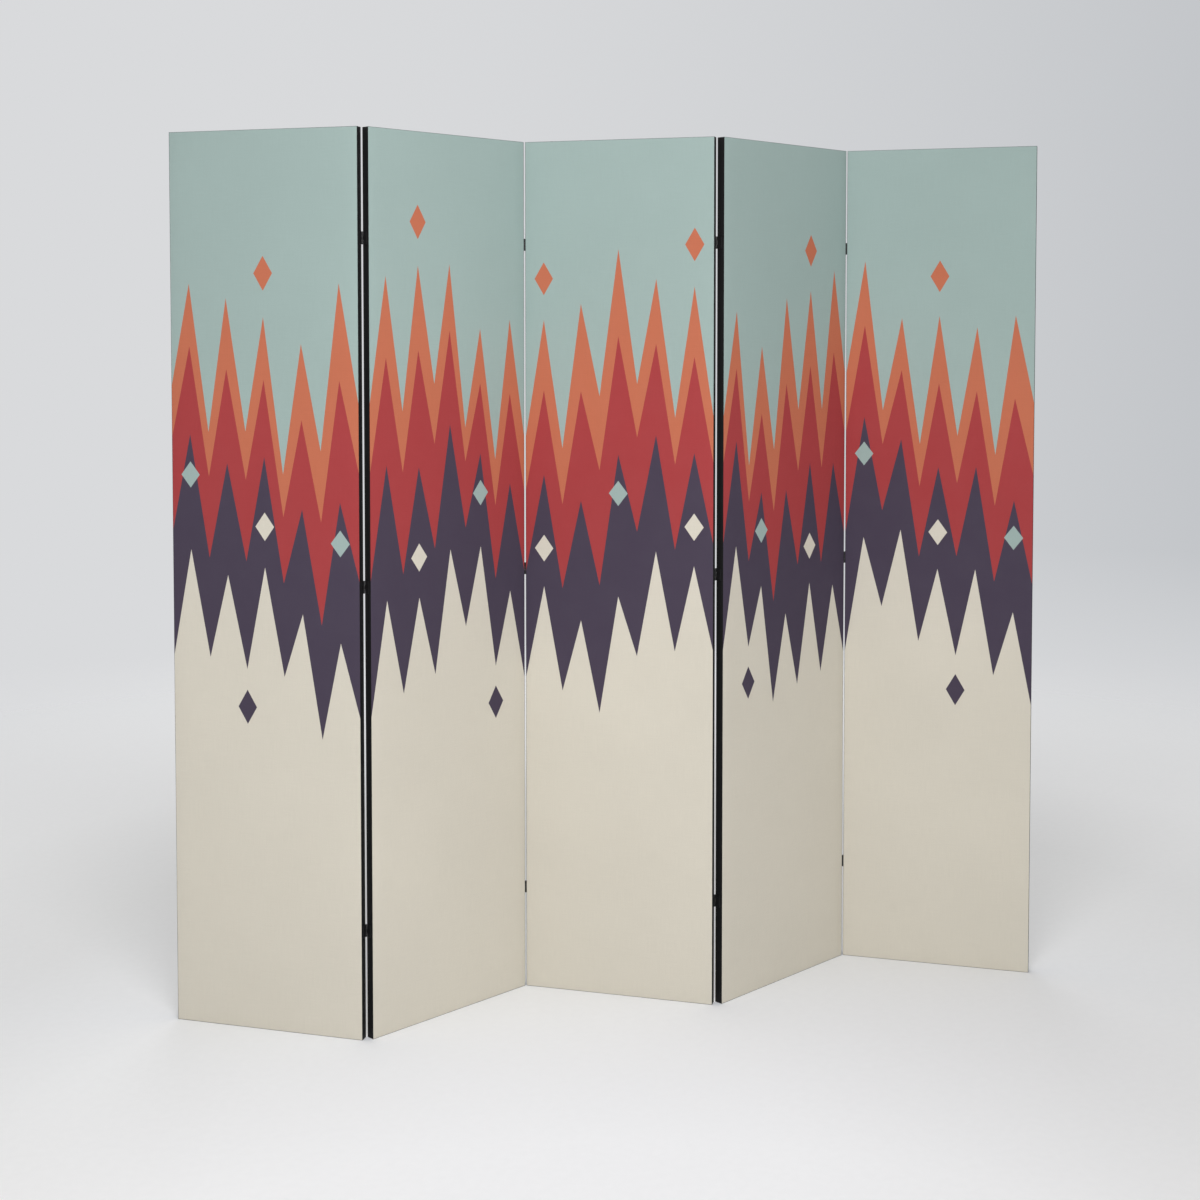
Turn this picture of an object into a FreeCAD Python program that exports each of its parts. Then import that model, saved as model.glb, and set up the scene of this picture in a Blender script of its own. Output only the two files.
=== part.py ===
import FreeCAD, Part

import math
import os

# A folding screen of five canvas-covered panels that stands in a zigzag on its lower edges.
# Lengths are in millimetres and angles in degrees. X runs along the screen's line, the
# fronts look towards -Y, and the origin is on the floor under the middle panel's centre.

# The screen as it stands
panel_count = 5
panel_width = 400.0
panel_height = 1775.0
panel_thickness = 18.0
fold_angle = 120.0

# The skins of a panel: canvas on both faces and tape round the edges
canvas_thickness = 0.6
tape_thickness = 0.4

# The stretcher bars: a raised lip carries the canvas, and the rest slopes away from it
bar_width = 38.0
bar_lip_width = 6.0
bar_slope_depth = 2.5

# The loose keys that join the mitred corners, let in half way between a bar's two edges
key_size = 22.0
key_thickness = 4.0
key_clearance = 0.1

# The cross rails, held in the stiles by stub tenons
cross_rail_count = 2
cross_rail_width = 32.0
tenon_length = 10.0
tenon_thickness = 5.0
tenon_shoulder = 4.0
tenon_clearance = 0.1

# The folds: the pin axis stands off the panels' side faces and proud of their inner faces
hinges_per_fold = 3
hinge_end_distance = 212.0
side_gap = 3.2
face_gap = 0.6

# One butt hinge
hinge_height = 25.0
knuckle_count = 3
knuckle_diameter = 2.8
knuckle_end_gap = 0.2
knuckle_side_gap = 0.25
leaf_thickness = 1.0
leaf_reach = 13.5
leaf_corner = 2.0
pin_diameter = 1.3
pin_clearance = 0.05

# How far a cut runs past the material that it cuts
overrun = 1.0

up = FreeCAD.Vector(0, 0, 1)
across = FreeCAD.Vector(1, 0, 0)
through = FreeCAD.Vector(0, 1, 0)

frame_edge = panel_width / 2 - tape_thickness
frame_bottom = tape_thickness
frame_top = panel_height - tape_thickness
frame_depth = panel_thickness - 2 * canvas_thickness
inner_edge = frame_edge - bar_width
inner_depth = frame_depth - 2 * bar_slope_depth

axis_off_side = side_gap / 2
axis_off_face = face_gap / 2
knuckle_radius = knuckle_diameter / 2
bore_radius = pin_diameter / 2 + pin_clearance
plate_top = -(knuckle_radius + knuckle_side_gap)
leaf_outer_face = leaf_thickness - axis_off_side
web_foot = -leaf_outer_face - knuckle_side_gap


def block(low, high):
    """A box between two opposite corners, given as (x, y, z)."""
    size = [high[i] - low[i] for i in range(len(low))]
    return Part.makeBox(*size, FreeCAD.Vector(*low))


def prism(points, sweep):
    """A flat outline of straight sides, swept along a vector."""
    corners = [FreeCAD.Vector(*point) for point in points]
    outline = Part.makePolygon(corners + corners[:1])
    return Part.Face(outline).extrude(sweep)


def placed(shape, position, axis=up, angle=0):
    """The shape turned about an axis through the origin, then moved to a position."""
    place = FreeCAD.Placement(FreeCAD.Vector(*position), FreeCAD.Rotation(axis, angle))
    return shape.transformed(place.toMatrix(), True)


# Where the panels and folds are

def panel_direction(index):
    """Panels turn alternately to and fro, the first with its right end forward."""
    turn = (180 - fold_angle) / 2
    return turn if index % 2 else -turn


def fold_side(fold):
    """The side that a fold's pin is on: 1 at the back, -1 at the front."""
    return -1 if fold % 2 else 1


def fold_point(fold, end):
    """A fold's pin axis in the frame of a panel, at its right end (1) or left end (-1)."""
    along = end * (panel_width / 2 + axis_off_side)
    deep = fold_side(fold) * (panel_thickness / 2 + axis_off_face)
    return FreeCAD.Vector(along, deep, 0)


def panel_places():
    """Each panel's placement, worked outwards from the middle panel at the origin."""
    turns = [FreeCAD.Rotation(up, panel_direction(index)) for index in range(panel_count)]
    middle = panel_count // 2
    centres = {middle: FreeCAD.Vector()}
    for index in range(middle + 1, panel_count):
        pin = centres[index - 1] + turns[index - 1].multVec(fold_point(index - 1, 1))
        centres[index] = pin - turns[index].multVec(fold_point(index - 1, -1))
    for index in range(middle - 1, -1, -1):
        pin = centres[index + 1] + turns[index + 1].multVec(fold_point(index, -1))
        centres[index] = pin - turns[index].multVec(fold_point(index, 1))
    return [FreeCAD.Placement(centres[index], turns[index]) for index in range(panel_count)]


def hinge_heights():
    """Heights of the hinges' middles, evenly spread between the two end hinges."""
    step = (panel_height - 2 * hinge_end_distance) / (hinges_per_fold - 1)
    return [hinge_end_distance + step * number for number in range(hinges_per_fold)]


# The panels

def mitred_bar(length):
    """A bar along x with its outer edge on z = 0 and both ends mitred."""
    lip = frame_depth / 2
    neck = inner_depth / 2
    section = [
        (0, -lip, 0), (0, -lip, bar_lip_width), (0, -neck, bar_width),
        (0, neck, bar_width), (0, lip, bar_lip_width), (0, lip, 0),
    ]
    mitres = [
        (0, -lip, 0), (length, -lip, 0),
        (length - bar_width, -lip, bar_width), (bar_width, -lip, bar_width),
    ]
    return prism(section, across * length).common(prism(mitres, through * frame_depth))


def corner_key(end, top, clearance):
    """A square key let into both bars of a mitred corner, or with a clearance its slot."""
    centre_x = end * (frame_edge - bar_width / 2)
    centre_z = frame_top - bar_width / 2 if top else frame_bottom + bar_width / 2
    half_size = key_size / 2 + clearance
    half_thickness = key_thickness / 2 + clearance
    low = (centre_x - half_size, -half_thickness, centre_z - half_size)
    high = (centre_x + half_size, half_thickness, centre_z + half_size)
    return block(low, high)


def cross_rail_heights():
    """The middles of the cross rails, evenly spread over the panel's height."""
    step = panel_height / (cross_rail_count + 1)
    return [step * (number + 1) for number in range(cross_rail_count)]


def tenon(height, end, clearance):
    """A stub tenon at a rail's end, or with a clearance the mortise it fits."""
    half_width = cross_rail_width / 2 - tenon_shoulder + clearance
    half_thickness = tenon_thickness / 2 + clearance
    reach = sorted((end * inner_edge, end * (inner_edge + tenon_length + clearance)))
    low = (reach[0], -half_thickness, height - half_width)
    high = (reach[1], half_thickness, height + half_width)
    return block(low, high)


def stile(end):
    """An upright bar with its mortises and key slots."""
    bar = mitred_bar(frame_top - frame_bottom)
    if end > 0:
        bar = placed(bar, (frame_edge, 0, frame_bottom), through, -90)
    else:
        bar = placed(bar, (-frame_edge, 0, frame_top), through, 90)
    mortises = [tenon(height, end, tenon_clearance) for height in cross_rail_heights()]
    slots = [corner_key(end, top, key_clearance) for top in (False, True)]
    return bar.cut(mortises + slots)


def end_rail(top):
    """The bar along the top or the bottom, with its key slots."""
    bar = mitred_bar(2 * frame_edge)
    if top:
        bar = placed(bar, (frame_edge, 0, frame_top), through, 180)
    else:
        bar = placed(bar, (-frame_edge, 0, frame_bottom))
    return bar.cut([corner_key(end, top, key_clearance) for end in (-1, 1)])


def corner_keys():
    """The four keys in the corners."""
    return Part.makeCompound([corner_key(end, top, 0) for end in (-1, 1) for top in (False, True)])


def cross_rails():
    """Flat rails between the stiles, each with a tenon at both ends."""
    rails = []
    for height in cross_rail_heights():
        low = (-inner_edge, -inner_depth / 2, height - cross_rail_width / 2)
        high = (inner_edge, inner_depth / 2, height + cross_rail_width / 2)
        tenons = [tenon(height, end, 0) for end in (-1, 1)]
        rails.append(block(low, high).multiFuse(tenons).removeSplitter())
    return Part.makeCompound(rails)


def canvas(side):
    """One face's canvas, bonded to the lips of the bars and trimmed at the tape."""
    faces = sorted((side * frame_depth / 2, side * panel_thickness / 2))
    return block((-frame_edge, faces[0], frame_bottom), (frame_edge, faces[1], frame_top))


def edge_tape():
    """Four strips round the panel's edges, the upright ones running full height."""
    half_width = panel_width / 2
    half_depth = panel_thickness / 2
    strips = []
    for end in (-1, 1):
        sides = sorted((end * frame_edge, end * half_width))
        strips.append(block((sides[0], -half_depth, 0), (sides[1], half_depth, panel_height)))
    for low, high in ((0, frame_bottom), (frame_top, panel_height)):
        strips.append(block((-frame_edge, -half_depth, low), (frame_edge, half_depth, high)))
    return Part.makeCompound(strips)


def panel_pieces():
    """The nodes of a panel in the panel's own frame."""
    return {
        "left_stile": stile(-1),
        "right_stile": stile(1),
        "top_rail": end_rail(True),
        "bottom_rail": end_rail(False),
        "cross_rails": cross_rails(),
        "corner_keys": corner_keys(),
        "front_canvas": canvas(-1),
        "back_canvas": canvas(1),
        "edge_tape": edge_tape(),
    }


# The hinges. Each piece is built with the pin axis on the origin and its panel towards
# -x and -y, then mirrored to the end and the side of the panel that it sits on.

def knuckle_rows():
    """The low and high ends of the knuckles, from the bottom up."""
    height = (hinge_height - knuckle_end_gap * (knuckle_count - 1)) / knuckle_count
    lows = [(height + knuckle_end_gap) * row - hinge_height / 2 for row in range(knuckle_count)]
    return [(low, low + height) for low in lows]


def leaf_plate():
    """The flat of the leaf, with its two free corners cut off."""
    low = (-axis_off_side, -leaf_reach, -hinge_height / 2)
    high = (leaf_outer_face, plate_top, hinge_height / 2)
    plate = block(low, high)
    corners = [
        edge for edge in plate.Edges
        if all(math.isclose(vertex.Y, -leaf_reach) for vertex in edge.Vertexes)
        and math.isclose(edge.Vertexes[0].Z, edge.Vertexes[1].Z)
    ]
    return plate.makeChamfer(leaf_corner, corners)


def barrel_tangent(x, y, turn, height):
    """Where a line from a point outside the barrel touches it, on the side that turn says."""
    lean = math.atan2(y, x) + turn * math.acos(knuckle_radius / math.hypot(x, y))
    return (knuckle_radius * math.cos(lean), knuckle_radius * math.sin(lean), height)


def knuckle(low, high):
    """One round knuckle on the solid web that joins it to the plate."""
    web = [
        (-axis_off_side, plate_top, low),
        (-axis_off_side, -axis_off_face, low),
        barrel_tangent(-axis_off_side, -axis_off_face, -1, low),
        (0, 0, low),
        barrel_tangent(web_foot, plate_top, 1, low),
        (web_foot, plate_top, low),
    ]
    barrel = Part.makeCylinder(knuckle_radius, high - low, up * low)
    return barrel.fuse(prism(web, up * (high - low)))


def leaf(first_row):
    """A hinge leaf with every second knuckle, from the given row."""
    rows = knuckle_rows()[first_row::2]
    body = leaf_plate().multiFuse([knuckle(low, high) for low, high in rows])
    reach = hinge_height + 2 * overrun
    bore = Part.makeCylinder(bore_radius, reach, up * (-reach / 2))
    return body.removeSplitter().cut(bore)


def pin():
    """The hinge pin, flush with the ends of the barrel."""
    return Part.makeCylinder(pin_diameter / 2, hinge_height, up * (-hinge_height / 2))


def mounted(shape, fold, end, height, place):
    """A hinge piece carried from the pin's frame to its panel, then to the screen."""
    if end < 0:
        shape = shape.mirror(FreeCAD.Vector(), across)
    if fold_side(fold) < 0:
        shape = shape.mirror(FreeCAD.Vector(), through)
    seated = placed(shape, fold_point(fold, end) + up * height)
    return seated.transformed(place.toMatrix(), True)


def fold_pieces(fold, places):
    """The nodes of one fold: both panels' leaves, and the pins, which the left leaves hold."""
    left_place, right_place = places[fold], places[fold + 1]
    heights = hinge_heights()
    groups = {
        "left_leaves": [mounted(leaf(0), fold, 1, height, left_place) for height in heights],
        "right_leaves": [mounted(leaf(1), fold, -1, height, right_place) for height in heights],
        "pins": [mounted(pin(), fold, 1, height, left_place) for height in heights],
    }
    return {name: Part.makeCompound(pieces) for name, pieces in groups.items()}


def build():
    """Every node of the screen, by name."""
    places = panel_places()
    nodes = {}
    pieces = panel_pieces()
    for index, place in enumerate(places):
        for name, shape in pieces.items():
            nodes[f"panel_{index + 1}_{name}"] = shape.transformed(place.toMatrix(), True)
    for fold in range(panel_count - 1):
        for name, shape in fold_pieces(fold, places).items():
            nodes[f"fold_{fold + 1}_{fold + 2}_{name}"] = shape
    return nodes


os.makedirs("parts", exist_ok=True)
for node_name, node_shape in build().items():
    node_shape.exportStep(f"parts/{node_name}.step")
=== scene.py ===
import math

import bmesh
import bpy
from mathutils import Matrix, Vector


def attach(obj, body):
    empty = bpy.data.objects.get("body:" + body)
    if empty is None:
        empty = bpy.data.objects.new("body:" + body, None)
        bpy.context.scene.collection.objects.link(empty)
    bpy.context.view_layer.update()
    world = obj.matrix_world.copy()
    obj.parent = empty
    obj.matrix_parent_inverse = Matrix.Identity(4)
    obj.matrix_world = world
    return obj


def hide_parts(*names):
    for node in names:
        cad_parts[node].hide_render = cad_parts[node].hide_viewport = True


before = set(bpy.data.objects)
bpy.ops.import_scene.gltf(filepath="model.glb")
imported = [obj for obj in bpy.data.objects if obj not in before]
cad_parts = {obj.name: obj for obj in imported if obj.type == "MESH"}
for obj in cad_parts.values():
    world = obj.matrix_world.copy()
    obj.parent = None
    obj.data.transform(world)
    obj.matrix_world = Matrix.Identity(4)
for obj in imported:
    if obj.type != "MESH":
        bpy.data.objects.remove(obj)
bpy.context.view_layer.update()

# The looks of a folding screen of five canvas-covered panels. Lengths are in metres, and
# angles up here are in degrees.
mm = 0.001

# The screen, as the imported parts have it
panel_count = 5
panel_width = 400 * mm
panel_height = 1775 * mm
panel_thickness = 18 * mm
canvas_thickness = 0.6 * mm
tape_thickness = 0.4 * mm
side_gap = 3.2 * mm
face_gap = 0.6 * mm
hinge_heights = (212 * mm, 887.5 * mm, 1563 * mm)
hinge_height = 25 * mm
knuckle_count = 3
knuckle_radius = 1.4 * mm
knuckle_end_gap = 0.2 * mm
knuckle_side_gap = 0.25 * mm
bore_radius = 0.7 * mm
pin_radius = 0.65 * mm
leaf_thickness = 1 * mm
leaf_reach = 13.5 * mm

# Finer shapes that only the looks have. Cells are the steps that a stretch is divided into.
canvas_edge_radius = 0.4 * mm
canvas_edge_cells = 4
canvas_cells = (16, 71)
tape_edge_radius = 0.12 * mm
leaf_corner_radius = 2 * mm
leaf_corner_cells = 6
leaf_edge_radius = 0.1 * mm
knuckle_cells = 28
bore_cells = 28
hole_cells = 32
pin_edge = 0.15 * mm
pin_cells = 24

# The canvas's dip: the width along the rim that is held, the width over which it eases, how
# deep it is, its level and swing as shares of that, the radians per metre along x and z of
# its waves, and the radians by which they are shifted
canvas_held_width = 8 * mm
canvas_easing_width = 70 * mm
canvas_dip = 0.35 * mm
dip_level = 0.6
dip_swing = 0.2
dip_crossed_waves = (17, 6.3)
dip_slanting_wave = (-9, 11)
dip_panel_phase = 1.3
dip_back_phase = 2.1
dip_upward_phase = 1.7

# The screws. screw_offset and screw_place are their distances from the pin and from the middle
# of the hinge, and screw_turn is how far each is turned past the one before it.
screw_offset = 7.4 * mm
screw_place = 7.7 * mm
screw_head_radius = 2.05 * mm
screw_shank_radius = 1.05 * mm
screw_play = 0.06 * mm
screw_length = 11 * mm
screw_point_length = 3 * mm
screw_point_radius = 0.8 * screw_shank_radius
thread_pitch = 1.4 * mm
thread_root = (0.35 * thread_pitch, 0.78 * screw_shank_radius)
thread_crest = (0.7 * thread_pitch, 1.15 * screw_shank_radius)
screw_rim = 0.08 * mm
screw_dome = 0.12 * mm
screw_dome_radii = (0.6 * screw_head_radius, 0.3 * screw_head_radius)
screw_cells = 32
recess_depth = 0.75 * mm
recess_width = 0.5 * mm
recess_reach = 1.15 * mm
screw_turn = 37

# Mesh work: how near points are that become one, how flat faces are that become one, which
# edges are rounded and in how many steps, and which edges look sharp
joined_reach = 0.005 * mm
joined_angle = 0.5
rounded_angle = 40
rounded_cells = 2
sharp_angle = 35
canvas_sharp_angle = 50

frame_edge = panel_width / 2 - tape_thickness
frame_bottom = tape_thickness
frame_top = panel_height - tape_thickness
axis_off_side = side_gap / 2
axis_off_face = face_gap / 2
plate_top = -(knuckle_radius + knuckle_side_gap)
leaf_outer_face = leaf_thickness - axis_off_side
web_foot = -leaf_outer_face - knuckle_side_gap


# Building materials

# Nearly all of a noise lies in this stretch
noise_stretch = (0.3, 0.7)


def linear(red, green, blue):
    """An sRGB colour of three numbers to 255 as a linear one."""
    shares = [channel / 255 for channel in (red, green, blue)]
    return tuple(
        share / 12.92 if share <= 0.04045 else ((share + 0.055) / 1.055) ** 2.4
        for share in shares
    ) + (1.0,)


class Shader:
    """A node tree under construction. Numbers and sockets are both taken as inputs."""

    def __init__(self, owner, output="ShaderNodeOutputMaterial"):
        owner.use_nodes = True
        self.owner = owner
        self.nodes = owner.node_tree.nodes
        self.links = owner.node_tree.links
        self.nodes.clear()
        self.output = self.nodes.new(output)

    def feed(self, socket, value):
        if isinstance(value, bpy.types.NodeSocket):
            self.links.new(value, socket)
        else:
            socket.default_value = value

    def node(self, kind, inputs=(), **settings):
        made = self.nodes.new(kind)
        for key, value in settings.items():
            setattr(made, key, value)
        for key, value in dict(inputs).items():
            self.feed(made.inputs[key], value)
        return made

    def math(self, operation, *values):
        made = self.nodes.new("ShaderNodeMath")
        made.operation = operation
        for socket, value in zip(made.inputs, values):
            self.feed(socket, value)
        return made.outputs[0]

    def plus(self, first, second):
        return self.math("ADD", first, second)

    def minus(self, first, second):
        return self.math("SUBTRACT", first, second)

    def times(self, first, second):
        return self.math("MULTIPLY", first, second)

    def line(self, value, slope, start):
        """The value times the slope, plus the start."""
        return self.math("MULTIPLY_ADD", value, slope, start)

    def ramp(self, value, low, high, to_low=0.0, to_high=1.0):
        """Lays low to high over to_low to to_high, and holds those beyond its ends."""
        return self.node(
            "ShaderNodeMapRange",
            {"Value": value, "From Min": low, "From Max": high, "To Min": to_low, "To Max": to_high},
        ).outputs[0]

    def spread(self, noise, low, high):
        """Lays nearly all of a noise over low to high."""
        return self.ramp(noise, *noise_stretch, low, high)

    def soft_step(self, value, edge, softness):
        """0 below the edge, 1 above it, with a narrow ramp between."""
        return self.ramp(self.minus(value, edge), -softness, softness)

    def mix(self, factor, first, second, blend="MIX"):
        made = self.nodes.new("ShaderNodeMix")
        made.data_type = "RGBA"
        made.blend_type = blend
        self.feed(made.inputs["Factor"], factor)
        self.feed(made.inputs["A"], first)
        self.feed(made.inputs["B"], second)
        return made.outputs["Result"]

    def toned(self, colour, tone):
        """The colour times a tone."""
        return self.mix(1.0, colour, self.vector(tone, tone, tone), "MULTIPLY")

    def noise(self, vector, scale, detail=2.0, roughness=0.5):
        return self.node(
            "ShaderNodeTexNoise",
            {"Vector": vector, "Scale": scale, "Detail": detail, "Roughness": roughness},
        ).outputs["Fac"]

    def vector(self, x, y, z=0.0):
        return self.node("ShaderNodeCombineXYZ", {"X": x, "Y": y, "Z": z}).outputs[0]

    def parts(self, vector):
        return self.node("ShaderNodeSeparateXYZ", {"Vector": vector}).outputs

    def coordinates(self, kind):
        return self.node("ShaderNodeTexCoord").outputs[kind]

    def bump(self, height, depth, strength):
        return self.node(
            "ShaderNodeBump", {"Height": height, "Distance": depth, "Strength": strength},
        ).outputs[0]

    def surface(self, colour, roughness, bump, **settings):
        inputs = {"Base Color": colour, "Roughness": roughness, "Normal": bump, **settings}
        return self.finished(self.node("ShaderNodeBsdfPrincipled", inputs))

    def finished(self, closure):
        """The material or world, with this node as its surface."""
        self.links.new(closure.outputs[0], self.output.inputs["Surface"])
        return self.owner


# The weave: how many times a metre the threads wander, and by how many pitches across and
# along. Between its crossings a thread has the second number of the crown as its height, and
# on them the first number more. Slubs, the thick places, take a noise of so many cells per
# thread and per metre of thread, and the weft takes it from another layer than the warp. The
# last two are the stretches in which nearly all of the cloth's heights and slubs lie.
wander_scale = 55.0
wander = (2.5, 1.7)
crown = (0.45, 0.55)
slubs_per_thread = 0.9
slubs_per_metre = 22.0
weft_layer = 7.0
height_stretch = (0.0, 0.75)
slub_stretch = (0.7, 1.3)


def weave(shader, across, along, pitch):
    """A plain weave: how high the cloth stands, from 0 in the holes to 1 on the threads, and
    how thick its threads are, round 1."""

    def threads(count):
        """Round threads side by side: 0 between them and 1 on top."""
        return shader.math("ABSOLUTE", shader.math("SINE", shader.times(count, math.pi)))

    drift = shader.noise(shader.vector(across, along), scale=wander_scale, detail=1.0)
    across = shader.plus(across, shader.times(drift, pitch * wander[0]))
    along = shader.plus(along, shader.times(drift, pitch * wander[1]))
    columns = shader.math("DIVIDE", across, pitch)
    rows = shader.math("DIVIDE", along, pitch)
    warp, weft = threads(columns), threads(rows)
    warp_height = shader.times(warp, shader.line(weft, *crown))
    weft_height = shader.times(weft, shader.line(warp, *crown))
    cell = shader.plus(shader.math("FLOOR", columns), shader.math("FLOOR", rows))
    over = shader.math("PINGPONG", cell, 1.0)
    height = shader.line(shader.minus(weft_height, warp_height), over, warp_height)
    warp_place = shader.vector(
        shader.times(columns, slubs_per_thread), shader.times(along, slubs_per_metre),
    )
    weft_place = shader.vector(
        shader.times(across, slubs_per_metre), shader.times(rows, slubs_per_thread), weft_layer,
    )
    slub = shader.plus(
        shader.noise(warp_place, scale=1.0, detail=1.0), shader.noise(weft_place, scale=1.0, detail=1.0),
    )
    return shader.times(height, shader.line(slub, 0.5, 0.5)), slub


# The print: nested zigzag bands with lozenges. Heights and widths are in metres.
column_width = panel_width / 10
ink_softness = 0.35 * mm
ink_bleed = 0.5 * mm
sage = linear(158, 177, 173)
orange = linear(193, 110, 81)
red = linear(166, 61, 63)
purple = linear(70, 61, 78)
cream = linear(215, 209, 195)
primed_cloth = linear(226, 221, 209)

# The upper edge of each band: colour above it, middle height, height of its points, and how
# far two slow waves lift it, each with its turn per column and its start
band_edges = (
    (purple, 0.680, 0.190, (0.070, 0.47, 0.4), (0.035, 1.21, 1.0)),
    (red, 0.905, 0.205, (0.060, 0.47, 0.9), (0.035, 1.21, 1.6)),
    (orange, 1.085, 0.220, (0.065, 0.47, 1.5), (0.030, 1.21, 2.3)),
    (sage, 1.195, 0.260, (0.070, 0.47, 1.9), (0.035, 1.21, 2.8)),
)
# Rows of lozenges: colour, the band edge that they follow, height above it, columns from one
# to the next, column of the first, and half height
lozenges = (
    (orange, 3, 0.085, 8, 5, 0.034),
    (sage, 1, -0.080, 8, 1, 0.026),
    (cream, 0, 0.080, 8, 5, 0.028),
    (purple, 0, -0.075, 14, 4, 0.034),
)


def edge_at(shader, column, edge):
    """The height of a band edge at a whole column."""
    _, middle, point, *waves = edge
    height = shader.line(shader.math("PINGPONG", column, 1.0), point, middle)
    for lift, turn, start in waves:
        wave = shader.math("SINE", shader.line(column, turn, start))
        height = shader.line(wave, lift, height)
    return height


def print_colour(shader, across, height):
    """The print's ink at a place across the whole screen and up it."""
    columns = shader.math("DIVIDE", across, column_width)
    column = shader.math("FLOOR", columns)
    beyond = shader.minus(columns, column)
    after = shader.plus(column, 1.0)
    ink = cream
    for edge in band_edges:
        here = edge_at(shader, column, edge)
        there = edge_at(shader, after, edge)
        upper = shader.line(shader.minus(there, here), beyond, here)
        ink = shader.mix(shader.soft_step(height, upper, ink_softness), ink, edge[0])
    for colour, edge, lift, spacing, first, half_height in lozenges:
        row = shader.math("DIVIDE", shader.minus(columns, first), spacing)
        nearest = shader.line(shader.math("ROUND", row), spacing, first)
        middle = shader.plus(edge_at(shader, nearest, band_edges[edge]), lift)
        aside = shader.math("ABSOLUTE", shader.minus(columns, nearest))
        above = shader.math("ABSOLUTE", shader.minus(height, middle))
        rim = shader.line(aside, -2 * half_height, half_height)
        ink = shader.mix(shader.soft_step(rim, above, ink_softness), ink, colour)
    return ink


# Cloths: pitch and depth of the threads, how strongly they stand out, and gloss
canvas_pitch = 0.85 * mm
canvas_depth = 0.09 * mm
tape_pitch = 0.42 * mm
tape_depth = 0.05 * mm
cloth_relief = 0.8
canvas_specular = 0.3
tape_specular = 0.22

# The canvas's tone from patch to patch, its painted shade from the holes to the threads, its
# tone from thin threads to thick ones, and its roughness from patch to patch
patch_tones = (0.965, 1.02)
painted_hole_shade = (0.9, 1.01)
slub_tones = (0.985, 1.015)
canvas_roughness = (0.78, 0.9)


def canvas_material(name, printed):
    shader = Shader(bpy.data.materials.new(name))
    place = shader.node("ShaderNodeUVMap", uv_map="place").outputs[0]
    across, height, _ = shader.parts(place)
    cloth, slub = weave(shader, across, height, canvas_pitch)
    ink = primed_cloth
    if printed:
        bleed = shader.line(shader.noise(place, scale=900.0, detail=1.0), ink_bleed, -ink_bleed / 2)
        ink = print_colour(shader, shader.plus(across, bleed), shader.plus(height, bleed))
    tone = shader.spread(shader.noise(place, scale=2.3, detail=3.0, roughness=0.55), *patch_tones)
    # painted shade: the holes of the weave are darker than its threads
    tone = shader.times(tone, shader.ramp(cloth, *height_stretch, *painted_hole_shade))
    tone = shader.times(tone, shader.ramp(slub, *slub_stretch, *slub_tones))
    roughness = shader.spread(shader.noise(place, scale=14.0), *canvas_roughness)
    relief = shader.bump(cloth, canvas_depth, cloth_relief)
    return shader.surface(
        shader.toned(ink, tone), roughness, relief, **{"Specular IOR Level": canvas_specular},
    )


# The tape's own black and what it fades to, how far lint, scuffs and thick threads fade it,
# where in its noise lint lies, how high the scuffs reach, and how rough the tape is from its
# holes to its threads
tape_black = (0.0042, 0.0042, 0.0048, 1.0)
tape_faded = (0.022, 0.0215, 0.0215, 1.0)
lint_from = (0.62, 0.8)
lint_share = 0.35
scuff_share = 0.5
slub_share = 0.12
scuff_height = 30 * mm
tape_roughness = (0.85, 0.62)


def tape_material():
    shader = Shader(bpy.data.materials.new("black_cloth_tape"))
    place = shader.coordinates("Object")
    across, deep, height = shader.parts(place)
    cloth, slub = weave(shader, deep, shader.plus(across, height), tape_pitch)
    lint = shader.ramp(shader.noise(place, scale=420.0, detail=4.0, roughness=0.7), *lint_from)
    low_down = shader.ramp(height, 0.0, scuff_height, 1.0, 0.0)
    scuffs = shader.times(low_down, shader.noise(place, scale=90.0, detail=3.0))
    faded = shader.math(
        "MAXIMUM", shader.times(lint, lint_share), shader.times(scuffs, scuff_share),
    )
    faded = shader.line(shader.ramp(slub, *slub_stretch), slub_share, faded)
    colour = shader.mix(faded, tape_black, tape_faded)
    roughness = shader.ramp(cloth, 0.0, 0.8, *tape_roughness)
    relief = shader.bump(cloth, tape_depth, cloth_relief)
    return shader.surface(colour, roughness, relief, **{"Specular IOR Level": tape_specular})


# Enamel: where in their noise rubbed spots lie, how much of the worn colour they take, how
# the roughness varies round its own, and how deep and strong the ripple is
rubbed_from = (0.6, 0.75)
rubbed_share = 0.6
gloss_swing = (-0.06, 0.08)
ripple_depth = 0.03 * mm
ripple_relief = 0.5


def enamel_material(name, base, worn, roughness):
    """Satin black enamel on steel, a little uneven, with rubbed spots."""
    shader = Shader(bpy.data.materials.new(name))
    place = shader.coordinates("Object")
    rubbed = shader.ramp(shader.noise(place, scale=700.0, detail=5.0, roughness=0.65), *rubbed_from)
    colour = shader.mix(shader.times(rubbed, rubbed_share), base, worn)
    gloss = shader.spread(
        shader.noise(place, scale=300.0, detail=3.0), *(roughness + swing for swing in gloss_swing),
    )
    ripple = shader.bump(shader.noise(place, scale=2600.0), ripple_depth, ripple_relief)
    return shader.surface(colour, gloss, ripple)


# Wood: how much a noise is squeezed along and across the grain, how far the rings wander, how
# they lean through the board and where in each late wood lies, then its fibres: their squeeze
# along the grain, where in their noise they lie, their share of the late wood's colour, and
# how deep and strong they are
grain_squeeze = (1.6, 24.0)
ring_wander = 5.0
ring_lean = 0.6
late_wood_from = (0.55, 1.0)
fibre_squeeze = 12.0
fibre_from = (0.35, 0.75)
fibre_share = 0.45
fibre_depth = 0.08 * mm
fibre_relief = 0.6
wood_roughness = (0.55, 0.75)


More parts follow.
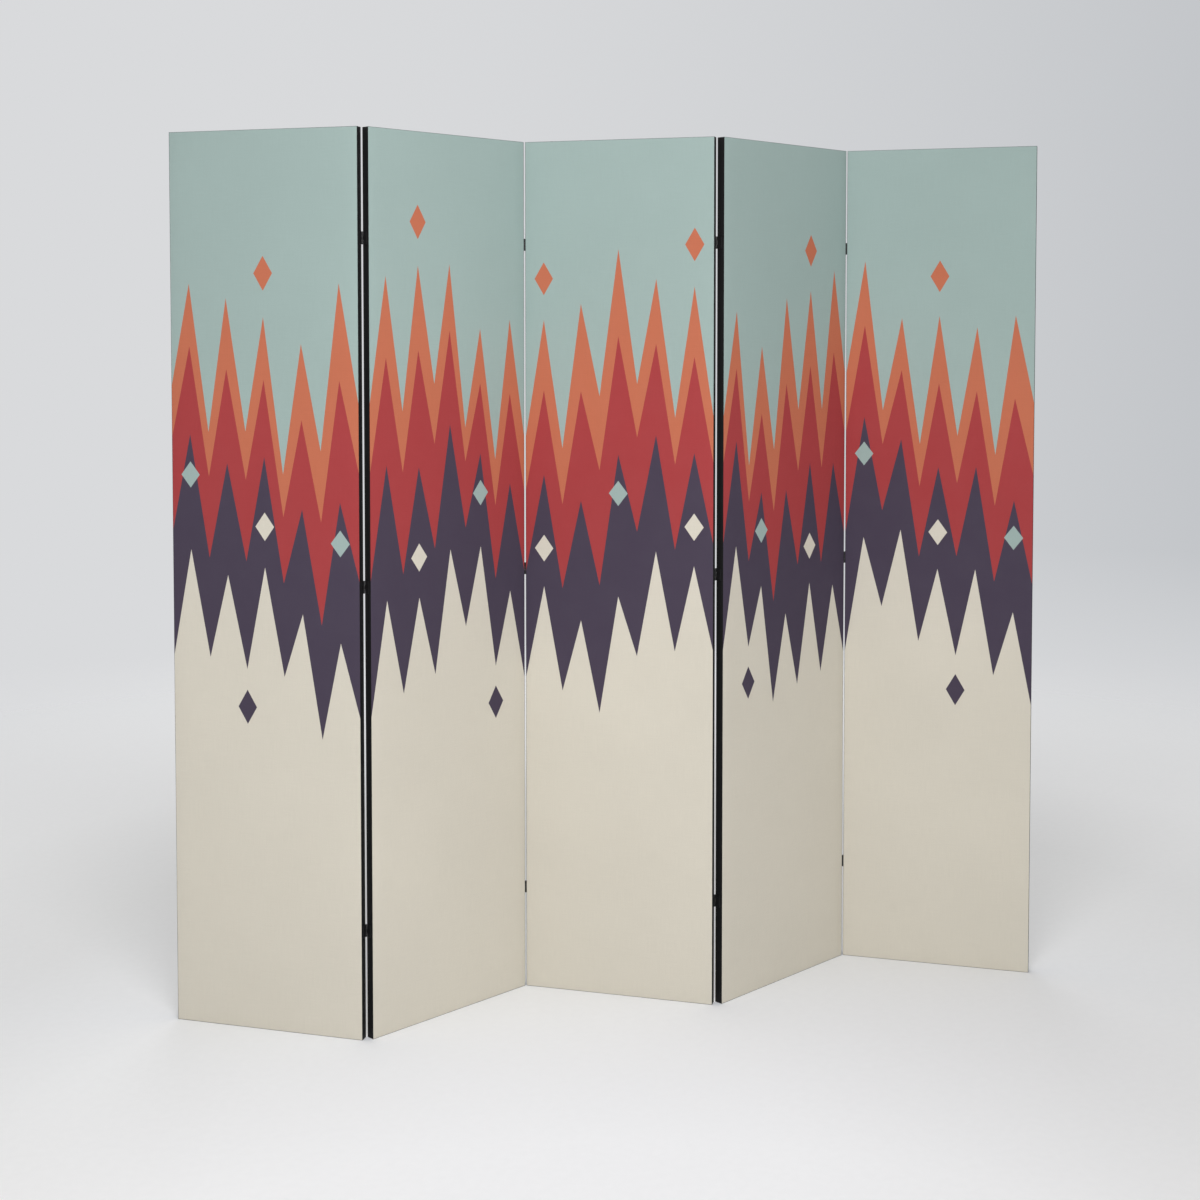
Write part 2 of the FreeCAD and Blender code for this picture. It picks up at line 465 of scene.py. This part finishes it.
def wood_material(name, light, dark, turn, upright, ring_scale, fibre_scale):
    """Planed wood. turn, in radians, lines the grain up with the panel, and upright sets it
    vertical."""
    shader = Shader(bpy.data.materials.new(name))
    turned = shader.node(
        "ShaderNodeMapping",
        {"Vector": shader.coordinates("Object"), "Rotation": (0.0, 0.0, -turn)},
        vector_type="POINT",
    ).outputs[0]
    x, y, z = shader.parts(turned)
    lengthwise, sideways = (z, x) if upright else (x, z)

    def squeezed(along, across):
        """A place whose noise is drawn out along the grain."""
        return shader.vector(
            shader.times(lengthwise, along), shader.times(sideways, across), shader.times(y, across),
        )

    drift = shader.noise(squeezed(*grain_squeeze), scale=1.3, detail=3.0)
    rings = shader.plus(shader.times(sideways, ring_scale), shader.times(drift, ring_wander))
    rings = shader.plus(rings, shader.times(y, ring_scale * ring_lean))
    late_wood = shader.ramp(shader.math("PINGPONG", rings, 1.0), *late_wood_from)
    fibres = shader.noise(
        squeezed(fibre_squeeze, fibre_scale), scale=1.0, detail=4.0, roughness=0.6,
    )
    colour = shader.mix(late_wood, light, dark)
    colour = shader.mix(shader.ramp(fibres, *fibre_from, 0.0, fibre_share), colour, dark)
    roughness = shader.spread(fibres, *wood_roughness)
    return shader.surface(colour, roughness, shader.bump(fibres, fibre_depth, fibre_relief))


# Building meshes

def quads(rows, closed=False):
    """Faces between neighbouring rows of vertices, given as lists of indexes."""
    faces = []
    for low, high in zip(rows, rows[1:]):
        count = len(low) if closed else len(low) - 1
        for number in range(count):
            after = (number + 1) % len(low)
            faces.append((low[number], low[after], high[after], high[number]))
    return faces


def placed(name, mesh):
    """A new object in the scene for a mesh."""
    made = bpy.data.objects.new(name, mesh)
    bpy.context.scene.collection.objects.link(made)
    return made


def mesh_object(name, points, faces):
    """An object with its faces turned outwards."""
    mesh = bpy.data.meshes.new(name)
    mesh.from_pydata([tuple(point) for point in points], [], faces)
    made = placed(name, mesh)
    turned = bmesh.new()
    turned.from_mesh(mesh)
    bmesh.ops.recalc_face_normals(turned, faces=turned.faces)
    turned.to_mesh(mesh)
    turned.free()
    return made


def prism(name, outline, sweep):
    """A flat outline swept along a vector."""
    low = [Vector(point) for point in outline]
    high = [point + Vector(sweep) for point in low]
    count = len(low)
    faces = quads([list(range(count)), list(range(count, 2 * count))], closed=True)
    faces += [tuple(reversed(range(count))), tuple(range(count, 2 * count))]
    return mesh_object(name, low + high, faces)


def box(name, low, high):
    outline = [
        (low[0], low[1], low[2]), (high[0], low[1], low[2]),
        (high[0], high[1], low[2]), (low[0], high[1], low[2]),
    ]
    return prism(name, outline, (0, 0, high[2] - low[2]))


def lathe(name, profile, cells):
    """A solid turned about the x axis, from (x, radius) pairs that start and end on it."""
    points = [(profile[0][0], 0, 0), (profile[-1][0], 0, 0)]
    rings = []
    for x, radius in profile[1:-1]:
        ring = []
        for number in range(cells):
            angle = 2 * math.pi * number / cells
            ring.append(len(points))
            points.append((x, radius * math.cos(angle), radius * math.sin(angle)))
        rings.append(ring)
    faces = quads(rings, closed=True)
    for pole, ring in ((0, rings[0]), (1, rings[-1])):
        for number in range(cells):
            faces.append((pole, ring[number], ring[(number + 1) % cells]))
    return mesh_object(name, points, faces)


def applied(made):
    """The object with its modifiers taken into its mesh."""
    graph = bpy.context.evaluated_depsgraph_get()
    mesh = bpy.data.meshes.new_from_object(made.evaluated_get(graph))
    made.modifiers.clear()
    made.data = mesh
    return made


def combine(target, tool, operation):
    """A Boolean of two solids. The tool is used up."""
    modifier = target.modifiers.new("combine", "BOOLEAN")
    modifier.object = tool
    modifier.operation = operation
    modifier.solver = "EXACT"
    applied(target)
    bpy.data.objects.remove(tool)


def cleaned(made):
    """Joins points that lie together, and faces that lie in one plane, after Booleans."""
    joined = bmesh.new()
    joined.from_mesh(made.data)
    bmesh.ops.remove_doubles(joined, verts=joined.verts, dist=joined_reach)
    bmesh.ops.dissolve_limit(
        joined, angle_limit=math.radians(joined_angle), verts=joined.verts, edges=joined.edges,
    )
    joined.to_mesh(made.data)
    joined.free()
    return made


def round_edges(made, radius):
    modifier = made.modifiers.new("round", "BEVEL")
    modifier.width = radius
    modifier.segments = rounded_cells
    modifier.limit_method = "ANGLE"
    modifier.angle_limit = math.radians(rounded_angle)
    return applied(made)


def mesh_of(made):
    """The object's mesh. The object itself is used up."""
    mesh = made.data
    bpy.data.objects.remove(made)
    return mesh


def gathered(name, shapes, material):
    """One object of several shapes, each a mesh with the matrix that puts it in place."""
    whole = bmesh.new()
    for mesh, matrix in shapes:
        copy = mesh.copy()
        copy.transform(matrix)
        if matrix.determinant() < 0:
            copy.flip_normals()
        whole.from_mesh(copy)
        bpy.data.meshes.remove(copy)
    mesh = bpy.data.meshes.new(name)
    whole.to_mesh(mesh)
    whole.free()
    mesh.materials.append(material)
    return placed(name, mesh)


def smoothed(made, angle=sharp_angle):
    made.data.shade_smooth()
    made.data.set_sharp_from_angle(angle=math.radians(angle))
    return made


# Where the panels are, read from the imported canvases

def middle_of(node):
    corners = [vertex.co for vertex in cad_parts[node].data.vertices]
    low = Vector(min(corner[axis] for corner in corners) for axis in range(3))
    high = Vector(max(corner[axis] for corner in corners) for axis in range(3))
    return (low + high) / 2


def panel_matrix(number):
    """From a panel's own frame (x along it, front at -y, z up) to the row frame."""
    front = middle_of(f"panel_{number}_front_canvas")
    back = middle_of(f"panel_{number}_back_canvas")
    through = (back - front).normalized()
    along = Vector((through.y, -through.x, 0))
    centre = (front + back) / 2
    matrix = Matrix((along, through, Vector((0, 0, 1)))).transposed().to_4x4()
    matrix.translation = (centre.x, centre.y, 0)
    return matrix


panels = range(1, panel_count + 1)
panel_places = {number: panel_matrix(number) for number in panels}


# The canvases and the tape

def stations(low, high, cells):
    """Places along one side of a sheet, closer together over its rounded edges."""
    arc = [
        canvas_edge_radius * (1 - math.cos(math.pi / 2 * step / canvas_edge_cells))
        for step in range(canvas_edge_cells)
    ]
    start = low + canvas_edge_radius
    span = high - low - 2 * canvas_edge_radius
    flat = [start + span * step / cells for step in range(cells + 1)]
    return [low + place for place in arc] + flat + [high - place for place in reversed(arc)]


def edge_drop(x, z):
    """How far the rounded edge falls away at a place on the sheet."""
    aside = max(canvas_edge_radius - (frame_edge - abs(x)), 0)
    above = max(canvas_edge_radius - min(z - frame_bottom, frame_top - z), 0)
    reach = min(math.hypot(aside, above), canvas_edge_radius)
    return canvas_edge_radius - math.sqrt(canvas_edge_radius ** 2 - reach ** 2)


def eased(share):
    """0 to 1 with a gentle start and end."""
    share = min(max(share, 0), 1)
    return share * share * (3 - 2 * share)


def dip(x, z, phase):
    """How far the cloth lies back between the bars that hold it."""
    margin = min(frame_edge - abs(x), z - frame_bottom, frame_top - z)
    free = eased((margin - canvas_held_width) / canvas_easing_width)
    across, up = dip_crossed_waves
    crossed = math.sin(x * across + phase) * math.sin(z * up + dip_upward_phase * phase)
    across, up = dip_slanting_wave
    slanting = math.sin(x * across + z * up + phase)
    return canvas_dip * free * (dip_level + dip_swing * (crossed + slanting))


def canvas_sheet(name, number, side, material):
    """A stretched canvas with rounded cut edges. Its UVs are places on the whole screen."""
    across = stations(-frame_edge, frame_edge, canvas_cells[0])
    up = stations(frame_bottom, frame_top, canvas_cells[1])
    phase = dip_panel_phase * number + (dip_back_phase if side > 0 else 0)
    points, outer_rows, inner_rows = [], [], []
    for inner, rows in ((False, outer_rows), (True, inner_rows)):
        for z in up:
            row = []
            for x in across:
                depth = panel_thickness / 2 - dip(x, z, phase)
                depth -= canvas_thickness if inner else edge_drop(x, z)
                row.append(len(points))
                points.append((x, side * depth, z))
            rows.append(row)
    faces = quads(outer_rows) + quads(inner_rows)
    rims = []
    for rows in (outer_rows, inner_rows):
        left = [row[0] for row in rows]
        right = [row[-1] for row in rows]
        rims.append(rows[0] + right[1:] + rows[-1][-2::-1] + left[-2:0:-1])
    faces += quads(rims, closed=True)
    made = mesh_object(name, points, faces)
    layer = made.data.uv_layers.new(name="place")
    start = (number - 1) * panel_width + panel_width / 2
    for loop in made.data.loops:
        place = made.data.vertices[loop.vertex_index].co
        layer.data[loop.index].uv = (start + place.x, place.z)
    made.data.materials.append(material)
    made.matrix_world = panel_places[number]
    return smoothed(made, canvas_sharp_angle)


def tape_strips(name, number, material):
    """The four strips round a panel's edge, with softened edges."""
    half_width = panel_width / 2
    half_depth = panel_thickness / 2
    corners = [
        ((-half_width, -half_depth, 0), (-frame_edge, half_depth, panel_height)),
        ((frame_edge, -half_depth, 0), (half_width, half_depth, panel_height)),
        ((-frame_edge, -half_depth, 0), (frame_edge, half_depth, frame_bottom)),
        ((-frame_edge, -half_depth, frame_top), (frame_edge, half_depth, panel_height)),
    ]
    strips = [
        mesh_of(round_edges(box(f"{name}_{step}", low, high), tape_edge_radius))
        for step, (low, high) in enumerate(corners)
    ]
    made = gathered(name, [(strip, Matrix.Identity(4)) for strip in strips], material)
    made.matrix_world = panel_places[number]
    return smoothed(made)


# The hinges, built as the source builds them: the pin axis on the origin and the panel
# towards -x and -y, then mirrored to the end and side that they sit on

def barrel_tangent(x, y, turn):
    """The angle, in radians, at which a line from a point touches the barrel."""
    return math.atan2(y, x) + turn * math.acos(knuckle_radius / math.hypot(x, y))


def knuckle_outline(height):
    """The section of a knuckle and the web that joins it to the plate."""
    start = barrel_tangent(-axis_off_side, -axis_off_face, -1)
    end = barrel_tangent(web_foot, plate_top, 1)
    sweep = (start - end) % (2 * math.pi)
    outline = [(web_foot, plate_top, height)]
    for step in range(knuckle_cells + 1):
        angle = end + sweep * step / knuckle_cells
        outline.append((knuckle_radius * math.cos(angle), knuckle_radius * math.sin(angle), height))
    inside = plate_top - leaf_thickness / 2
    outline += [
        (-axis_off_side, -axis_off_face, height), (-axis_off_side, inside, height),
        (leaf_outer_face, inside, height), (leaf_outer_face, plate_top, height),
    ]
    return outline


def leaf_outline():
    """The plate's face, with two rounded corners."""
    cells = leaf_corner_cells
    outline = [
        (-axis_off_side, plate_top, -hinge_height / 2), (-axis_off_side, plate_top, hinge_height / 2),
    ]
    for end, steps in ((1, range(cells + 1)), (-1, range(cells, -1, -1))):
        for step in steps:
            angle = math.pi / 2 * step / cells
            y = -leaf_reach + leaf_corner_radius * (1 - math.sin(angle))
            z = end * (hinge_height / 2 - leaf_corner_radius * (1 - math.cos(angle)))
            outline.append((-axis_off_side, y, z))
    return outline


def screw_hole():
    """The countersunk hole of one screw, a little past both faces of the leaf."""
    past = screw_play
    profile = [
        (-axis_off_side - past, 0),
        (-axis_off_side - past, screw_shank_radius + screw_play - past),
        (leaf_outer_face + past, screw_head_radius + screw_play + past),
        (leaf_outer_face + past, 0),
    ]
    return lathe("hole", profile, hole_cells)


def leaf_mesh(first_row):
    """One leaf with its knuckles, its bore and two countersunk holes."""
    plate = prism("leaf", leaf_outline(), (leaf_thickness, 0, 0))
    row_height = (hinge_height - knuckle_end_gap * (knuckle_count - 1)) / knuckle_count
    for row in range(first_row, knuckle_count, 2):
        low = (row_height + knuckle_end_gap) * row - hinge_height / 2
        combine(plate, prism("knuckle", knuckle_outline(low), (0, 0, row_height)), "UNION")
    reach = hinge_height
    profile = [(-reach, 0), (-reach, bore_radius), (reach, bore_radius), (reach, 0)]
    bore = lathe("bore", profile, bore_cells)
    bore.data.transform(Matrix.Rotation(math.pi / 2, 4, "Y"))
    combine(plate, bore, "DIFFERENCE")
    for end in (-1, 1):
        hole = screw_hole()
        hole.data.transform(Matrix.Translation((0, -screw_offset - screw_play, end * screw_place)))
        combine(plate, hole, "DIFFERENCE")
    return mesh_of(round_edges(cleaned(plate), leaf_edge_radius))


def screw_mesh():
    """A countersunk wood screw with a cross recess, its head flush with the leaf."""
    tip = -axis_off_side - screw_length
    profile = [(tip, 0), (tip + screw_point_length, screw_point_radius)]
    for turn in range(int((screw_length - screw_point_length) / thread_pitch)):
        start = tip + screw_point_length + turn * thread_pitch
        profile += [
            (start + thread_root[0], thread_root[1]),
            (start + thread_crest[0], thread_crest[1]),
            (start + thread_pitch, thread_root[1]),
        ]
    profile += [
        (-axis_off_side, screw_shank_radius - screw_play),
        (leaf_outer_face - screw_rim, screw_head_radius - screw_rim),
        (leaf_outer_face, screw_head_radius - screw_rim),
        (leaf_outer_face + 0.7 * screw_dome, screw_dome_radii[0]),
        (leaf_outer_face + screw_dome, screw_dome_radii[1]),
        (leaf_outer_face + screw_dome, 0),
    ]
    screw = lathe("screw", profile, screw_cells)
    for turn in (0, 90):
        low = (leaf_outer_face - recess_depth, -recess_reach, -recess_width / 2)
        high = (leaf_outer_face + 2 * screw_dome, recess_reach, recess_width / 2)
        slot = box("slot", low, high)
        slot.data.transform(Matrix.Rotation(math.radians(turn), 4, "X"))
        combine(screw, slot, "DIFFERENCE")
    return mesh_of(cleaned(screw))


def pin_mesh():
    """A hinge pin with lightly domed ends."""
    end = hinge_height / 2
    half = [
        (end - pin_edge, pin_radius), (end - pin_edge * 0.3, pin_radius * 0.85),
        (end, pin_radius * 0.45), (end, 0),
    ]
    profile = [(-x, radius) for x, radius in reversed(half)] + half
    pin = lathe("pin", profile, pin_cells)
    pin.data.transform(Matrix.Rotation(math.pi / 2, 4, "Y"))
    return mesh_of(pin)


def seats(fold, end):
    """The matrices that carry hinge pieces to the three hinges of a fold, at the panel's right
    end (1) or left end (-1). The hinges sit at the back of one fold and the front of the next."""
    back = 1 if fold % 2 else -1
    mirror = Matrix.Diagonal((end, back, 1, 1))
    x = end * (panel_width / 2 + axis_off_side)
    y = back * (panel_thickness / 2 + axis_off_face)
    return [Matrix.Translation((x, y, height)) @ mirror for height in hinge_heights]


# Putting it together

print_canvas = canvas_material("printed_canvas", True)
plain_canvas = canvas_material("plain_canvas", False)
black_tape = tape_material()
# Each enamel has its own colour, a colour where it is rubbed, and a roughness
enamel = enamel_material("hinge_enamel", (0.007, 0.007, 0.0075, 1.0), (0.035, 0.035, 0.036, 1.0), 0.42)
pin_finish = enamel_material("pin_enamel", (0.014, 0.014, 0.015, 1.0), (0.09, 0.09, 0.09, 1.0), 0.32)
screw_finish = enamel_material("screw_enamel", (0.013, 0.013, 0.014, 1.0), (0.12, 0.12, 0.12, 1.0), 0.34)

# The colours of early and late wood, then how closely rings and fibres lie across the board
pine_colours = (linear(222, 190, 146), linear(178, 128, 78))
plywood_colours = (linear(208, 172, 126), linear(150, 108, 68))
pine_grain = (260.0, 700.0)
plywood_grain = (900.0, 500.0)

leaf_meshes = (leaf_mesh(0), leaf_mesh(1))
screw = screw_mesh()
pin = pin_mesh()


def own(made, body, slot_name, *nodes):
    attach(made, body)
    if nodes:
        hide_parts(*nodes)


def dress(node, material):
    """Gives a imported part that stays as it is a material."""
    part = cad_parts[node]
    part.data.materials.clear()
    part.data.materials.append(material)


def finish_frame(number):
    """The wood inside a panel, with its grain along each bar."""
    body = f"panel_{number}"
    matrix = panel_places[number]
    turn = math.atan2(matrix[1][0], matrix[0][0])
    upright = wood_material(f"pine_upright_{number}", *pine_colours, turn, True, *pine_grain)
    level = wood_material(f"pine_level_{number}", *pine_colours, turn, False, *pine_grain)
    plywood = wood_material(f"plywood_{number}", *plywood_colours, turn, False, *plywood_grain)
    for name in ("left_stile", "right_stile"):
        dress(f"{body}_{name}", upright)
    for name in ("top_rail", "bottom_rail", "cross_rails"):
        dress(f"{body}_{name}", level)
    dress(f"{body}_corner_keys", plywood)


def cover_panel(number):
    """The two canvases and the tape of a panel."""
    body = f"panel_{number}"
    front = canvas_sheet(f"{body}_front_print", number, -1, print_canvas)
    own(front, body, "printed_canvas", f"{body}_front_canvas")
    back = canvas_sheet(f"{body}_back_cloth", number, 1, plain_canvas)
    own(back, body, "plain_canvas", f"{body}_back_canvas")
    own(tape_strips(f"{body}_tape", number, black_tape), body, "edge_tape", f"{body}_edge_tape")


def screws_at(places, fold):
    """Two screws for each hinge, each turned differently, as mesh and matrix."""
    screws = []
    for place in places:
        for step in (-1, 1):
            turn = math.radians(screw_turn * (len(screws) + 2 * fold))
            seat = Matrix.Translation((0, -screw_offset, step * screw_place))
            screws.append((screw, place @ seat @ Matrix.Rotation(turn, 4, "X")))
    return screws


def hinge_fold(fold):
    """The three hinges between a panel and the next: leaves and screws on both, and pins."""
    pair = f"fold_{fold}_{fold + 1}"
    sides = (("left", 1, fold, leaf_meshes[0]), ("right", -1, fold + 1, leaf_meshes[1]))
    for side, end, number, leaf in sides:
        body = f"panel_{number}"
        places = seats(fold, end)
        leaves = gathered(f"{pair}_{side}_hinge_leaves", [(leaf, place) for place in places], enamel)
        leaves.matrix_world = panel_places[number]
        own(smoothed(leaves), body, "hinge_leaf", f"{pair}_{side}_leaves")
        screws = gathered(f"{pair}_{side}_screws", screws_at(places, fold), screw_finish)
        screws.matrix_world = panel_places[number]
        own(smoothed(screws), body, "hinge_leaf")
    pins = gathered(f"{pair}_hinge_pins", [(pin, place) for place in seats(fold, 1)], pin_finish)
    pins.matrix_world = panel_places[fold]
    own(smoothed(pins), f"panel_{fold}", "hinge_pin", f"{pair}_pins")


for number in panels:
    finish_frame(number)
    cover_panel(number)
for fold in range(1, panel_count):
    hinge_fold(fold)


# The studio: a pale floor that fades into the world behind it. The floor is a disc that lies
# just below the screen and is clear from the second distance of its fade.
floor_radius = 4.6
floor_drop = 0.2 * mm
floor_cells = 96
floor_fade = (1.6, 4.4)
floor_grain = (0.985, 1.0)
# Where painted light and shade change the floor's tone: darker round the spot below the key
# lamp, darker away from the front of the screen, and lighter far behind it. Each: round which
# place, between which distances, and from what to what tone
painted_floor_light_and_shade = (
    ((-0.45, -1.75, 0.0), 0.0, 1.15, 0.78, 1.0),
    ((-0.35, -0.6, 0.0), 0.5, 1.35, 1.0, 0.915),
    ((0.15, 0.0, 0.0), 1.4, 2.05, 1.0, 1.09),
)
# Its colour near the screen and away from it, and the distances between which it changes. The
# cooler colour near the screen is a painted tint that offsets the warm light that the cream print
# bounces onto the floor
near_floor = (0.94, 0.953, 0.983, 1.0)
far_floor = (0.944, 0.948, 0.956, 1.0)
near_to_far = (0.5, 1.3)

# The backdrop is darker towards +x, a painted shade, by the x and z of the direction in which
# it is seen
world_strength = 0.53
backdrop_light = linear(217, 218, 220)
backdrop_dark = linear(189, 192, 196)
backdrop_sideways = (0.0, 0.62)
backdrop_upward = (-0.22, -0.12)

# The lamps: place, where each points, width and height, and power in watts
lamps = (
    ("key", (-0.5, -1.85, 1.7), (-0.1, 0, 0.75), (1.0, 2.2), 20),
    ("front_fill", (-1.5, -4.4, 4.4), (0, -0.2, 0.6), (4, 3), 56),
    ("back_fill", (0.8, 5.2, 1.9), (0, 0, 0.9), (4, 3), 80),
)

# The camera, from where the photo was taken: how far it is turned to the right and tilted
# down, and its lens and sensor in millimetres
camera_place = (-0.9335, -3.4511, 1.3848)
camera_turn = 14.496
camera_tilt = 2.5
camera_lens = 52.09
camera_sensor = 36
camera_shift = -0.1613


def floor_material():
    shader = Shader(bpy.data.materials.new("floor"))
    place = shader.coordinates("Object")

    def distance(centre):
        return shader.node(
            "ShaderNodeVectorMath", {0: place, 1: centre}, operation="DISTANCE",
        ).outputs["Value"]

    tone = shader.spread(shader.noise(place, scale=60.0, detail=3.0), *floor_grain)
    # painted light and shade: darker below the key lamp and at the sides, lighter far behind the screen
    for centre, *change in painted_floor_light_and_shade:
        tone = shader.times(tone, shader.ramp(distance(centre), *change))
    away = distance((0.0, 0.0, 0.0))
    # painted tint: cooler near the screen, against the warm light bounced from the print
    tint = shader.mix(shader.ramp(away, *near_to_far), near_floor, far_floor)
    paint = shader.node("ShaderNodeBsdfDiffuse", {"Color": shader.toned(tint, tone)}).outputs[0]
    clear = shader.node("ShaderNodeBsdfTransparent").outputs[0]
    fade = shader.ramp(away, *floor_fade)
    fade = shader.times(fade, shader.times(fade, shader.line(fade, -2.0, 3.0)))
    return shader.finished(shader.node("ShaderNodeMixShader", {0: fade, 1: paint, 2: clear}))


def studio_world():
    """Even soft light for the object, and a plain pale backdrop for the camera."""
    world = bpy.data.worlds.new("studio")
    bpy.context.scene.world = world
    shader = Shader(world, "ShaderNodeOutputWorld")
    x, _, z = shader.parts(shader.coordinates("Generated"))
    sideways = shader.ramp(x, *backdrop_sideways)
    upward = shader.ramp(z, *backdrop_upward)
    # painted shade: the backdrop darkens towards +x
    darker = shader.times(sideways, shader.times(sideways, upward))
    tint = shader.mix(darker, backdrop_light, backdrop_dark)
    backdrop = shader.node("ShaderNodeBackground", {"Color": tint}).outputs[0]
    light = shader.node(
        "ShaderNodeBackground", {"Color": (1.0, 1.0, 1.0, 1.0), "Strength": world_strength},
    ).outputs[0]
    path = shader.node("ShaderNodeLightPath").outputs
    seen = shader.plus(path["Is Camera Ray"], path["Is Glossy Ray"])
    shown = shader.node(
        "ShaderNodeMath", {0: seen, 1: path["Is Transmission Ray"]}, operation="ADD", use_clamp=True,
    ).outputs[0]
    shader.finished(shader.node("ShaderNodeMixShader", {0: shown, 1: light, 2: backdrop}))


def softbox(name, place, target, size, power):
    lamp = bpy.data.lights.new(name, "AREA")
    lamp.shape = "ELLIPSE"
    lamp.size, lamp.size_y = size
    lamp.energy = power
    made = placed(name, lamp)
    made.location = place
    made.visible_camera = False
    made.rotation_euler = (Vector(target) - Vector(place)).to_track_quat("-Z", "Y").to_euler()


def disc(name, radius, height, cells):
    angles = [2 * math.pi * step / cells for step in range(cells)]
    rim = [(radius * math.cos(angle), radius * math.sin(angle), height) for angle in angles]
    return mesh_object(name, rim, [tuple(range(cells))])


floor = disc("floor", floor_radius, -floor_drop, floor_cells)
floor.data.materials.append(floor_material())
studio_world()
for lamp in lamps:
    softbox(*lamp)

lens = bpy.data.cameras.new("camera")
lens.lens = camera_lens
lens.sensor_width = camera_sensor
lens.shift_y = camera_shift
camera = placed("camera", lens)
camera.location = camera_place
camera.rotation_euler = (math.radians(90 - camera_tilt), 0, math.radians(-camera_turn))
bpy.context.scene.camera = camera

bpy.context.scene.view_settings.view_transform = "Standard"

bpy.context.view_layer.update()
